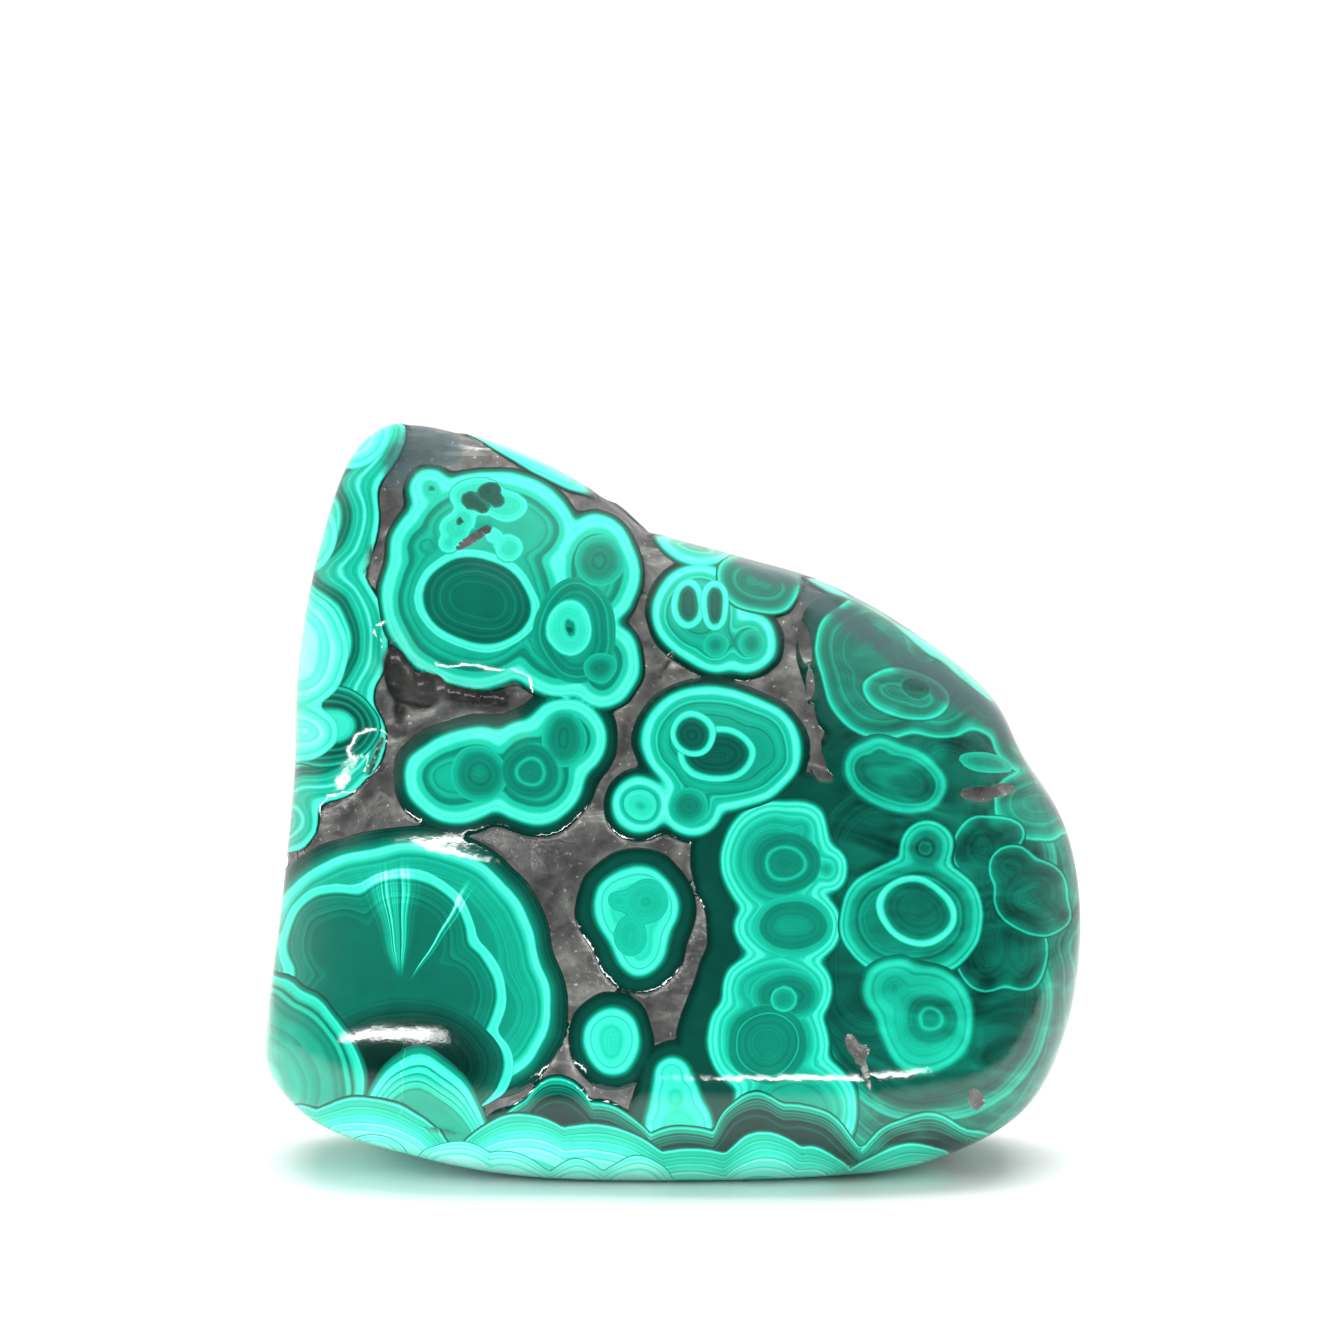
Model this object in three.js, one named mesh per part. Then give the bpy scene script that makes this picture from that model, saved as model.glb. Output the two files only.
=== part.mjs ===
// A polished malachite freeform that stands on its cut base.
// Millimetres. X runs across the broad face, Y through the stone from front to back, and Z up
// from the surface that the stone stands on. The origin is the middle of the box's underside.

import * as THREE from 'three';
import { mergeVertices } from 'three/addons/utils/BufferGeometryUtils.js';

// The widest outline, seen from the front, clockwise from the peak. The stretch below zero is
// what flattening took off to make the base.
const outlinePoints = [
  [-28.2, 74.6],
  [-21.8, 73.9],
  [-12.8, 70.6],
  [-8.4, 68.1],
  [-4.8, 66.0],
  [-3.2, 64.2],
  [6.4, 61.2],
  [15.0, 58.6],
  [24.3, 53.4],
  [32.4, 46.6],
  [35.2, 41.0],
  [39.2, 34.8],
  [41.0, 25.4],
  [39.9, 14.8],
  [36.0, 6.6],
  [26.2, 1.35],
  [14.0, -0.2],
  [-14.0, -0.2],
  [-26.8, 2.15],
  [-36.7, 5.5],
  [-40.9, 10.4],
  [-40.9, 14.8],
  [-39.2, 27.0],
  [-37.8, 40.0],
  [-37.3, 51.0],
  [-35.1, 62.6],
  [-31.6, 72.0],
];
const outlineSamples = 720;

// The middle that the outline is measured from.
const heart = { x: -3.0, z: 34.0 };

// Half the depth of the stone at the height of its thick foot, its waist and its peak.
const depthStations = [
  { z: 0, front: 17.9, back: 16.3 },
  { z: 13, front: 18.0, back: 16.5 },
  { z: 40, front: 14.0, back: 14.0 },
  { z: 60, front: 9.5, back: 10.5 },
  { z: 77, front: 5.0, back: 7.0 },
];

// How boxy the section is: 2 is an ellipse, and more makes flatter faces with tighter edges.
// The foot turns under more tightly than the rest.
const sectionPower = 3.4;
const footPower = 4.8;

// Share of the mesh that goes to the broad faces rather than the edge, and to the front
// rather than the back.
const faceShare = 1.5;
const frontShare = 0.2;
const meshDetail = 19;

// Below this height the underside is blended into the flat base.
const baseBlend = 0.12;

// Swells of the front: centre, half-width, half-height and rise of each.
const frontSwells = [
  { x: -16.0, z: 59.0, width: 11.0, height: 10.0, rise: 1.5 },
  { x: -17.0, z: 41.0, width: 9.0, height: 5.0, rise: 0.7 },
  { x: 4.6, z: 43.0, width: 7.0, height: 6.0, rise: 0.6 },
  { x: 4.0, z: 57.0, width: 6.0, height: 4.0, rise: 0.5 },
  { x: 20.0, z: 36.0, width: 14.0, height: 12.0, rise: 0.7 },
  { x: -26.0, z: 20.0, width: 11.0, height: 9.0, rise: 0.9 },
  { x: 10.0, z: 12.0, width: 26.0, height: 5.0, rise: 0.9 },
];

// Swells of the back, which is plainer.
const backSwells = [
  { x: -12.0, z: 52.0, width: 13.0, height: 12.0, rise: 1.1 },
  { x: 16.0, z: 40.0, width: 12.0, height: 10.0, rise: 1.0 },
  { x: -20.0, z: 22.0, width: 14.0, height: 9.0, rise: 1.2 },
  { x: 18.0, z: 15.0, width: 14.0, height: 8.0, rise: 0.8 },
];

// Hollows and furrows of the front, where the soft matrix lies lower than the malachite.
// Each runs from one point to another, with its half-width and depth.
const frontFurrows = [
  { from: [-28.2, 53.0], to: [-24.6, 48.6], width: 1.7, depth: 2.8 },
  { from: [-24.6, 48.6], to: [-15.6, 48.2], width: 1.6, depth: 2.1 },
  { from: [-24.6, 48.6], to: [-28.4, 42.6], width: 1.8, depth: 1.6 },
  { from: [-29.6, 42.4], to: [-33.0, 35.4], width: 2.2, depth: 1.7 },
  { from: [-27.8, 71.0], to: [-30.6, 61.0], width: 1.8, depth: 0.7 },
  { from: [-30.6, 61.0], to: [-28.6, 54.0], width: 1.6, depth: 0.7 },
  { from: [-3.0, 64.0], to: [-3.4, 50.0], width: 2.0, depth: 0.7 },
  { from: [-3.4, 50.0], to: [-9.6, 32.0], width: 3.0, depth: 0.6 },
  { from: [-9.6, 32.0], to: [-11.4, 16.0], width: 3.0, depth: 0.5 },
  { from: [-33.0, 33.6], to: [-14.0, 31.6], width: 2.4, depth: 0.6 },
];

const stoneMaterial = new THREE.MeshStandardMaterial({
  name: 'polished_malachite',
  color: new THREE.Color(0x12a57e),
  roughness: 0.12,
  metalness: 0.0,
});

// A smooth step from 0 at the low edge to 1 at the high edge.
function smoothStep(low, high, value) {
  return THREE.MathUtils.smoothstep(value, low, high);
}

// The outline as a table of radius against angle about the heart.
function outlineByAngle() {
  const corners = outlinePoints.map(([x, z]) => new THREE.Vector3(x - heart.x, z - heart.z, 0));
  const curve = new THREE.CatmullRomCurve3(corners, true, 'centripetal');
  const table = curve.getPoints(outlineSamples).slice(1).map((point) => ({
    angle: Math.atan2(point.y, point.x),
    radius: Math.hypot(point.x, point.y),
  }));
  table.sort((a, b) => a.angle - b.angle);
  const first = table[0];
  const last = table[table.length - 1];
  const turn = 2 * Math.PI;
  table.unshift({ angle: last.angle - turn, radius: last.radius });
  table.push({ angle: first.angle + turn, radius: first.radius });
  return table;
}

// The radius of the outline in one direction, read from its table by halving.
function outlineRadius(table, angle) {
  let low = 0;
  let high = table.length - 1;
  while (high - low > 1) {
    const middle = (low + high) >> 1;
    if (table[middle].angle <= angle) {
      low = middle;
    } else {
      high = middle;
    }
  }
  const start = table[low];
  const end = table[high];
  const share = (angle - start.angle) / (end.angle - start.angle);
  return THREE.MathUtils.lerp(start.radius, end.radius, share);
}

// Half the depth on one side of the stone at a height, smooth between the stations.
const depthCurves = Object.fromEntries(['front', 'back'].map((side) => {
  const knots = depthStations.map((station) => new THREE.Vector2(station.z, station[side]));
  return [side, new THREE.SplineCurve(knots).getPoints(200)];
}));

function halfDepth(side, z) {
  const points = depthCurves[side];
  const after = points.findIndex((point) => point.x >= z);
  if (after === 0) {
    return points[0].y;
  }
  if (after < 0) {
    return points[points.length - 1].y;
  }
  const share = (z - points[after - 1].x) / (points[after].x - points[after - 1].x);
  return THREE.MathUtils.lerp(points[after - 1].y, points[after].y, share);
}

// The rise of a face where its swells reach.
function swellRise(swells, x, z) {
  let rise = 0;
  for (const swell of swells) {
    const across = (x - swell.x) / swell.width;
    const upward = (z - swell.z) / swell.height;
    rise += swell.rise * Math.exp(-across * across - upward * upward);
  }
  return rise;
}

// The depth of the deepest furrow that reaches a place on the front.
function furrowDepth(x, z) {
  const place = new THREE.Vector3(x, 0, z);
  const nearest = new THREE.Vector3();
  let depth = 0;
  for (const furrow of frontFurrows) {
    const run = new THREE.Line3(
      new THREE.Vector3(furrow.from[0], 0, furrow.from[1]),
      new THREE.Vector3(furrow.to[0], 0, furrow.to[1]),
    );
    run.closestPointToPoint(place, true, nearest);
    const away = place.distanceTo(nearest) / furrow.width;
    depth = Math.max(depth, furrow.depth * Math.exp(-away * away));
  }
  return depth;
}

// The underside, blended into a flat base at zero.
function settle(z) {
  if (z <= -baseBlend) {
    return 0;
  }
  if (z >= baseBlend) {
    return z;
  }
  return (z + baseBlend) ** 2 / (4 * baseBlend);
}

// One point of a ball, moved to its place on the stone.
function shapePoint(point, table) {
  point.y -= frontShare;
  point.normalize();
  const around = Math.hypot(point.x, point.z);
  const through = Math.abs(point.y) * faceShare;
  const angle = Math.atan2(point.z, point.x);
  const footward = smoothStep(0.45, 0.9, -Math.sin(angle));
  const power = THREE.MathUtils.lerp(sectionPower, footPower, footward);
  const norm = (around ** power + through ** power) ** (1 / power);
  const spread = around / norm;
  const depthShare = through / norm;
  const radius = spread * outlineRadius(table, angle);
  const x = heart.x + radius * Math.cos(angle);
  const z = heart.z + radius * Math.sin(angle);
  const facing = smoothStep(0.15, 0.95, depthShare);
  if (point.y < 0) {
    const relief = swellRise(frontSwells, x, z) - furrowDepth(x, z);
    point.set(x, -halfDepth('front', z) * depthShare - relief * facing, settle(z));
  } else {
    const relief = swellRise(backSwells, x, z);
    point.set(x, halfDepth('back', z) * depthShare + relief * facing, settle(z));
  }
}

// The stone: a ball of even triangles, each corner moved to the surface.
function stoneGeometry() {
  const ball = new THREE.IcosahedronGeometry(1, meshDetail);
  ball.deleteAttribute('normal');
  ball.deleteAttribute('uv');
  const geometry = mergeVertices(ball, 1e-4);
  const table = outlineByAngle();
  const places = geometry.getAttribute('position');
  const point = new THREE.Vector3();
  for (let i = 0; i < places.count; i += 1) {
    point.fromBufferAttribute(places, i);
    shapePoint(point, table);
    places.setXYZ(i, point.x, point.y, point.z);
  }
  geometry.computeVertexNormals();
  geometry.computeBoundingBox();
  const box = geometry.boundingBox;
  const middle = box.getCenter(new THREE.Vector3());
  geometry.translate(-middle.x, -middle.y, -box.min.z);
  return geometry;
}

const stone = new THREE.Mesh(stoneGeometry(), stoneMaterial);
stone.name = 'malachite_stone';

const freeform = new THREE.Group();
freeform.name = 'malachite_freeform';
freeform.add(stone);

export default freeform;
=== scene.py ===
"""A shaped and polished piece of banded malachite, standing on its cut base.

The body comes from the CAD frame. A copy of it is refined, worn back a little where
soft grey matrix shows between the green growths, and given a banded finish. Each
growth is a few overlapping discs, ovals or humps, and the distance inwards from their
common edge sets the band that shows, as it does in the real stone.
"""

from __future__ import annotations

import logging
import math
from dataclasses import dataclass
from enum import Enum
from typing import Any

import bmesh
import bpy
import numpy as np
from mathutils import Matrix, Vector

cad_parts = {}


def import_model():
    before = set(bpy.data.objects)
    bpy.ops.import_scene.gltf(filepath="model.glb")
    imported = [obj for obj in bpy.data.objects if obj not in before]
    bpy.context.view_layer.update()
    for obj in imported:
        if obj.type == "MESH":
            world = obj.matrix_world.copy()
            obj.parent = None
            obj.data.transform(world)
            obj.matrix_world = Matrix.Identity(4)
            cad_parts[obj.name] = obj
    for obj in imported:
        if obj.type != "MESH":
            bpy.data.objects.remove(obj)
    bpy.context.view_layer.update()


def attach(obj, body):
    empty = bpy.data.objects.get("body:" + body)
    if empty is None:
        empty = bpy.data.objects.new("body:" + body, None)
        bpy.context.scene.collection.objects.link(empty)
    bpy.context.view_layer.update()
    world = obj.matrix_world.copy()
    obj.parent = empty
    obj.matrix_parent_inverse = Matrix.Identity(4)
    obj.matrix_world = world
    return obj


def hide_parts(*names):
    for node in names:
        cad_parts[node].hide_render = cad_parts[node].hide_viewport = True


LOG = logging.getLogger("malachite")
CAD_NODE = "malachite_stone"
MATERIAL_SLOT = "polished_malachite"

# A millimetre, in metres
MM = 0.001

# A depth far outside every growth, in millimetres
OUTSIDE = -99.0

# The value round which noise lies
NOISE_MIDDLE = 0.5


# The line of sight


@dataclass(frozen=True)
class Sight:
    """The place from which the stone is seen, level but for a few degrees.

    Attributes:
        elevation: Height of the eye above the stone, in degrees.
        distance: From the eye to the aim point, in metres.
        aim: The point at the middle of the frame, in metres.
        frame_width: Width that the frame covers at the aim point, in metres.
        sensor: Width of the camera's sensor, in millimetres.
        face_foot: How far below the base heights on the face are counted from, in metres.
        clip: Nearest and farthest distances that the camera shows, in metres.
    """

    elevation: float = 8.0
    distance: float = 0.5
    aim: tuple[float, float, float] = (-0.0012, 0.0, 0.051)
    frame_width: float = 0.132
    sensor: float = 36.0
    face_foot: float = 0.001
    clip: tuple[float, float] = (0.01, 20.0)

    def forward(self) -> np.ndarray:
        """Return the direction of sight."""
        angle = math.radians(self.elevation)
        return np.array([0.0, math.cos(angle), -math.sin(angle)])

    def upward(self) -> np.ndarray:
        """Return the direction that is up in the picture."""
        angle = math.radians(self.elevation)
        return np.array([0.0, math.sin(angle), math.cos(angle)])

    def eye(self) -> np.ndarray:
        """Return the place of the eye, in metres."""
        return np.array(self.aim) - self.distance * self.forward()

    def on_face(self, points: np.ndarray) -> tuple[np.ndarray, np.ndarray]:
        """Carry points along their lines of sight to the upright plane of the aim.

        Args:
            points: Points in metres, one a row.

        Returns:
            How far across and how far up each point falls, in millimetres.
        """
        from_eye = points - self.eye()
        reach = from_eye @ self.forward()
        across = self.aim[0] + self.distance * from_eye[:, 0] / reach
        up = self.aim[2] + self.face_foot + self.distance * (from_eye @ self.upward()) / reach
        return across / MM, up / MM

    def make_camera(self) -> bpy.types.Object:
        """Make the scene's camera.

        Returns:
            The camera object.
        """
        data = bpy.data.cameras.new("studio_camera")
        data.sensor_width = self.sensor
        data.lens = self.sensor * self.distance / self.frame_width
        data.clip_start = self.clip[0]
        data.clip_end = self.clip[1]
        camera = bpy.data.objects.new("studio_camera", data)
        bpy.context.scene.collection.objects.link(camera)
        camera.location = Vector(self.eye())
        camera.rotation_euler = (math.radians(90.0 - self.elevation), 0.0, 0.0)
        bpy.context.scene.camera = camera
        return camera


# Growths, as they lie on the face, in millimetres across and up


@dataclass(frozen=True)
class Lobe:
    """A disc or an oval that forms part of a growth.

    Attributes:
        across: Place of its middle across the face.
        up: Place of its middle above the base.
        wide: Half its width.
        tall: Half its height, or 0 for a disc.
        turn: How far it is turned, in degrees.
    """

    across: float
    up: float
    wide: float
    tall: float = 0.0
    turn: float = 0.0

    def depth(self, across: np.ndarray, up: np.ndarray) -> np.ndarray:
        """Measure how far inside the lobe each point is.

        Args:
            across: Places across the face.
            up: Places above the base.

        Returns:
            The distance inwards from its edge, negative outside.
        """
        tall = self.tall or self.wide
        side = across - self.across
        rise = up - self.up
        cosine = math.cos(math.radians(self.turn))
        sine = math.sin(math.radians(self.turn))
        along = cosine * side + sine * rise
        over = cosine * rise - sine * side
        if tall == self.wide:
            return self.wide - np.hypot(along, over)
        share = np.hypot(along / self.wide, over / tall)
        slope = np.hypot(along / self.wide**2, over / tall**2)
        least_slope = 1e-6
        middle_share = 1e-3
        deepest = min(self.wide, tall)
        depth = share * (1.0 - share) / np.maximum(slope, least_slope)
        return np.where(share < middle_share, deepest, np.minimum(depth, deepest))


@dataclass(frozen=True)
class Hump:
    """A growth that rises out of the base, with bands that follow its crest.

    Attributes:
        across: Place of its crest across the face.
        crest: Height of its crest.
        wide: How far out it has fallen by its drop.
        drop: How far it falls there.
    """

    across: float
    crest: float
    wide: float
    drop: float

    def depth(self, across: np.ndarray, up: np.ndarray) -> np.ndarray:
        """Measure how far below the hump's line each point is.

        Args:
            across: Places across the face.
            up: Places above the base.

        Returns:
            The distance down from its line, negative above it.
        """
        side = (across - self.across) / self.wide
        return self.crest - self.drop * side**2 - up


@dataclass(frozen=True)
class Cell:
    """One growth: lobes that grew into each other, in a dark crust.

    Attributes:
        crust: Thickness of the dark crust round it.
        lobes: Its lobes.
    """

    crust: float
    lobes: tuple[Lobe | Hump, ...]


def alone(crust: float, *lobes: Lobe | Hump) -> tuple[Cell, ...]:
    """Make each lobe a growth of its own.

    Args:
        crust: Thickness of the dark crust round each one.
        lobes: The lobes.

    Returns:
        One cell for each lobe.
    """
    return tuple(Cell(crust, (lobe,)) for lobe in lobes)


class Bands(Enum):
    """Sequences of bands, each as pairs of depth in millimetres and tone.

    Tone 0 is nearly black green and tone 1 the palest turquoise. The first depth is
    where the sequence begins to cover what lies under it.
    """

    GROUND = ((-0.1, 0.26), (0.0, 0.4), (0.3, 0.44), (0.5, 0.3), (0.9, 0.36), (1.1, 0.5),
              (1.25, 0.32), (1.9, 0.3), (2.1, 0.42), (2.3, 0.28), (3.2, 0.3), (3.4, 0.38),
              (3.6, 0.26), (8.0, 0.24))
    SHADE = ((-0.2, 0.2), (1.0, 0.17), (3.0, 0.22), (8.0, 0.18))
    EDGE = ((-0.1, 0.2), (0.0, 0.44), (0.25, 0.54), (0.5, 0.4), (0.65, 0.5), (0.8, 0.34),
            (1.1, 0.42), (1.3, 0.26), (1.6, 0.2), (12.0, 0.2))
    STRIP = ((-0.15, 0.1), (0.0, 0.42), (0.12, 0.72), (0.3, 0.82), (0.42, 0.62), (0.55, 0.84),
             (0.9, 0.78), (1.0, 0.66), (1.15, 0.86), (2.0, 0.88))
    VEIL = ((-0.25, 0.14), (-0.05, 0.36), (0.05, 0.58), (0.15, 0.66), (0.3, 0.52), (0.5, 0.4),
            (0.8, 0.32), (1.3, 0.28), (1.6, 0.35), (1.75, 0.44), (1.9, 0.3), (2.6, 0.26),
            (3.0, 0.34), (3.15, 0.27), (8.0, 0.25))
    THIN_LINE = ((-0.2, 0.14), (-0.02, 0.34), (0.06, 0.6), (0.14, 0.62), (0.24, 0.42), (0.4, 0.27),
                 (1.2, 0.21), (5.0, 0.2))
    WALL = ((-0.1, 0.2), (0.0, 0.6), (0.12, 0.84), (0.42, 0.8), (0.55, 0.58), (0.8, 0.52), (0.9, 0.62),
            (1.2, 0.56), (1.35, 0.7), (1.5, 0.92), (1.62, 0.7), (1.8, 0.58), (2.05, 0.54), (2.15, 0.68),
            (2.3, 0.56), (2.6, 0.5), (2.75, 0.36), (2.95, 0.26), (3.1, 0.4), (3.25, 0.25), (3.5, 0.3),
            (3.65, 0.5), (3.8, 0.72), (3.95, 0.84), (4.1, 0.64), (4.4, 0.7), (4.55, 0.88), (4.8, 0.76),
            (5.1, 0.92), (5.6, 0.78), (5.75, 0.94), (9.0, 1.0))
    RIM = ((-0.42, 0.1), (-0.24, 0.24), (-0.06, 0.42), (0.1, 0.66), (0.26, 0.83), (0.42, 0.86),
           (0.52, 0.72), (0.6, 0.82), (0.95, 0.86), (1.15, 0.72), (1.3, 0.62), (1.6, 0.6),
           (1.72, 0.46), (1.85, 0.38), (2.2, 0.38), (2.35, 0.5), (2.7, 0.52), (2.85, 0.42),
           (3.0, 0.5), (3.6, 0.52), (5.0, 0.5))
    COLUMN = ((-0.42, 0.1), (-0.24, 0.24), (-0.06, 0.42), (0.1, 0.68), (0.24, 0.84), (0.38, 0.72),
              (0.5, 0.62), (0.62, 0.8), (0.85, 0.82), (0.98, 0.64), (1.2, 0.6), (1.35, 0.72),
              (1.5, 0.62), (1.9, 0.54), (2.1, 0.46), (2.3, 0.54), (3.0, 0.47), (3.2, 0.4),
              (3.4, 0.48), (5.0, 0.44))
    THIN_RIM = ((-0.4, 0.1), (-0.22, 0.24), (-0.05, 0.44), (0.1, 0.66), (0.25, 0.8), (0.6, 0.86),
                (0.75, 0.74), (0.88, 0.58), (1.2, 0.55), (1.34, 0.7), (1.46, 0.5), (1.58, 0.36),
                (1.72, 0.5), (2.1, 0.52), (2.6, 0.46), (2.72, 0.36), (2.85, 0.46), (5.0, 0.44))
    EYE = ((-0.5, 0.12), (-0.3, 0.24), (-0.1, 0.42), (0.1, 0.66), (0.3, 0.84), (0.6, 0.8),
           (0.75, 0.66), (0.88, 0.8), (1.3, 0.8), (1.6, 0.7), (3.0, 0.68), (4.5, 0.66))
    LARGE = ((-1.7, 0.1), (-1.0, 0.16), (-0.6, 0.26), (-0.25, 0.36), (-0.05, 0.46), (0.08, 0.76),
             (0.3, 0.88), (0.45, 0.78), (0.6, 0.86), (0.85, 0.72), (1.05, 0.64), (1.2, 0.53),
             (1.4, 0.44), (1.55, 0.56), (1.9, 0.53), (2.05, 0.46), (2.3, 0.5), (2.7, 0.46),
             (2.85, 0.54), (3.0, 0.44), (3.5, 0.5), (3.7, 0.42), (9.0, 0.4))
    DARK = ((-0.3, 0.12), (-0.08, 0.4), (0.06, 0.66), (0.2, 0.72), (0.34, 0.58), (0.46, 0.48),
            (0.56, 0.64), (0.8, 0.62), (1.0, 0.48), (1.5, 0.38), (1.7, 0.3), (1.9, 0.3),
            (2.05, 0.44), (2.2, 0.34), (3.5, 0.3), (6.0, 0.28))
    SOFT = ((-0.5, 0.14), (-0.2, 0.3), (0.1, 0.5), (0.35, 0.66), (0.65, 0.6), (0.85, 0.5),
            (1.05, 0.62), (1.5, 0.56), (2.4, 0.5), (4.0, 0.43))
    DEEP_CORE = ((-0.1, 0.46), (0.0, 0.68), (0.15, 0.84), (0.3, 0.74), (0.4, 0.84), (0.7, 0.78),
                 (0.82, 0.5), (0.92, 0.27), (1.3, 0.24), (1.5, 0.31), (1.6, 0.25), (2.1, 0.28),
                 (2.3, 0.34), (2.4, 0.26), (3.0, 0.28), (3.3, 0.33), (3.4, 0.27), (5.2, 0.28))
    LINED_CORE = ((-0.08, 0.5), (0.02, 0.42), (0.5, 0.4), (0.66, 0.54), (0.76, 0.38), (1.3, 0.37),
                  (1.5, 0.43), (1.6, 0.38), (2.6, 0.46))
    MID_CORE = ((-0.04, 0.58), (0.15, 0.53), (0.6, 0.44), (1.1, 0.37), (1.8, 0.34), (3.0, 0.42))
    PALE_CORE = ((-0.15, 0.44), (0.0, 0.64), (0.15, 0.82), (0.3, 0.74), (0.7, 0.66), (2.0, 0.64))
    RINGED_CORE = ((-0.04, 0.54), (0.0, 0.42), (0.3, 0.35), (0.9, 0.34), (1.2, 0.4), (1.35, 0.53),
                   (1.5, 0.58), (1.62, 0.43), (2.1, 0.36), (3.2, 0.34))
    RING = ((-0.1, 0.4), (0.0, 0.62), (0.15, 0.82), (0.45, 0.78), (0.6, 0.58), (0.75, 0.32),
            (1.2, 0.2), (4.0, 0.22))
    FINE_RING = ((-0.02, 0.66), (0.05, 0.48), (0.16, 0.48), (0.26, 0.74), (1.2, 0.7), (1.5, 0.56),
                 (1.8, 0.5))
    SOFT_CORE = ((-0.06, 0.72), (0.0, 0.48), (0.12, 0.58), (0.9, 0.57), (2.0, 0.53))
    OVAL_CORE = ((-0.1, 0.6), (0.0, 0.56), (0.5, 0.52), (0.7, 0.38), (1.4, 0.36), (2.8, 0.44))
    DISC = ((-0.02, 0.55), (0.1, 0.38), (0.5, 0.34), (0.82, 0.36), (0.92, 0.6), (1.02, 0.36),
            (1.3, 0.35), (4.0, 0.38))
    KIDNEY = ((-0.5, 0.14), (-0.2, 0.28), (0.05, 0.46), (0.25, 0.62), (0.5, 0.54), (0.7, 0.44),
              (0.9, 0.56), (1.05, 0.4), (1.2, 0.28), (2.2, 0.24), (2.4, 0.29), (4.0, 0.26))
    LARGE_CORE = ((-0.06, 0.5), (0.0, 0.66), (0.12, 0.84), (0.4, 0.76), (0.7, 0.82), (0.85, 0.7),
                  (0.95, 0.44), (1.1, 0.31), (1.35, 0.41), (1.5, 0.31), (1.9, 0.39), (2.05, 0.3),
                  (2.5, 0.37), (2.65, 0.28), (3.2, 0.33), (3.35, 0.28), (5.0, 0.28), (12.0, 0.25))
    DEEP = ((-1.6, 0.27), (-0.8, 0.21), (0.4, 0.13), (2.0, 0.07), (5.0, 0.03))
    WALL_CORE = ((-0.08, 0.5), (0.0, 0.7), (0.2, 0.86), (0.45, 0.88), (0.62, 0.72), (0.8, 0.8),
                 (1.1, 0.9), (1.7, 0.94), (1.85, 0.84), (2.4, 0.9), (2.55, 0.82), (3.0, 0.96),
                 (6.0, 1.0))
    FRINGE = ((-0.2, 0.14), (0.0, 0.46), (0.1, 0.6), (0.3, 0.38), (0.55, 0.22), (0.8, 0.48), (0.9, 0.3),
              (1.2, 0.18), (1.5, 0.42), (1.65, 0.24), (2.0, 0.18), (2.3, 0.46), (2.5, 0.66),
              (3.0, 0.76), (5.0, 0.72))
    EYE_DOT = ((-0.2, 0.4), (-0.05, 0.62), (0.1, 0.84), (0.5, 0.74), (1.5, 0.72), (1.75, 0.66),
               (1.9, 0.42), (2.2, 0.36))
    BLOB = ((-0.1, 0.58), (0.02, 0.3), (0.2, 0.18), (1.5, 0.15))
    RING_DOT = ((-0.05, 0.42), (0.0, 0.56), (0.2, 0.6), (0.4, 0.44), (1.5, 0.4))
    FAN = ((-0.3, 0.1), (-0.08, 0.34), (0.02, 0.62), (0.14, 0.72), (0.26, 0.52), (0.4, 0.36),
           (0.5, 0.54), (0.62, 0.34), (0.75, 0.18), (0.9, 0.42), (1.05, 0.22), (1.2, 0.38),
           (1.35, 0.16), (1.6, 0.28), (1.75, 0.1), (2.2, 0.08), (2.4, 0.2), (2.55, 0.08), (4.0, 0.05))
    CORNER = ((-0.6, 0.06), (-0.35, 0.26), (-0.1, 0.42), (0.05, 0.76), (0.25, 0.7), (0.6, 0.66),
              (0.85, 0.56), (1.0, 0.34), (1.15, 0.3), (1.3, 0.58), (1.6, 0.62), (1.8, 0.42),
              (1.95, 0.34), (2.4, 0.42), (2.55, 0.34), (3.2, 0.46), (4.2, 0.48), (4.3, 0.4),
              (5.5, 0.5), (5.6, 0.42), (6.5, 0.52), (7.6, 0.46), (8.2, 0.62), (11.2, 0.66))
    DOME = ((-0.5, 0.16), (-0.15, 0.34), (0.2, 0.4), (0.5, 0.44), (0.65, 0.78), (1.1, 0.86),
            (1.6, 0.8), (1.75, 0.4), (1.9, 0.76), (2.4, 0.82), (2.55, 0.42), (2.7, 0.64), (3.2, 0.78),
            (3.35, 0.36), (3.5, 0.7), (4.0, 0.64), (4.15, 0.4), (4.4, 0.5), (5.1, 0.46))
    # The hems at the foot are real bands, and their palest tones are also painted reflection of the white
    # floor on the under-curve.
    HEM = ((-0.3, 0.1), (-0.12, 0.22), (0.0, 0.46), (0.1, 0.84), (0.22, 0.74), (0.34, 0.54),
           (0.75, 0.62), (0.85, 0.44), (0.95, 0.78), (1.1, 0.62), (1.5, 0.7), (1.6, 0.52), (1.72, 0.9),
           (1.9, 0.74), (2.3, 0.82), (2.4, 0.62), (2.52, 0.98), (2.7, 0.88), (3.1, 0.92), (3.2, 0.72),
           (3.35, 1.0), (3.6, 0.92), (4.2, 0.95), (4.4, 0.78), (5.4, 1.0), (7.0, 0.95))
    LOW_HEM = ((-0.12, 0.3), (0.0, 0.5), (0.08, 0.94), (0.25, 0.88), (0.6, 0.93), (0.7, 0.74),
               (0.8, 1.0), (1.2, 0.94), (1.3, 0.78), (1.45, 1.0), (3.0, 0.97))


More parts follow.
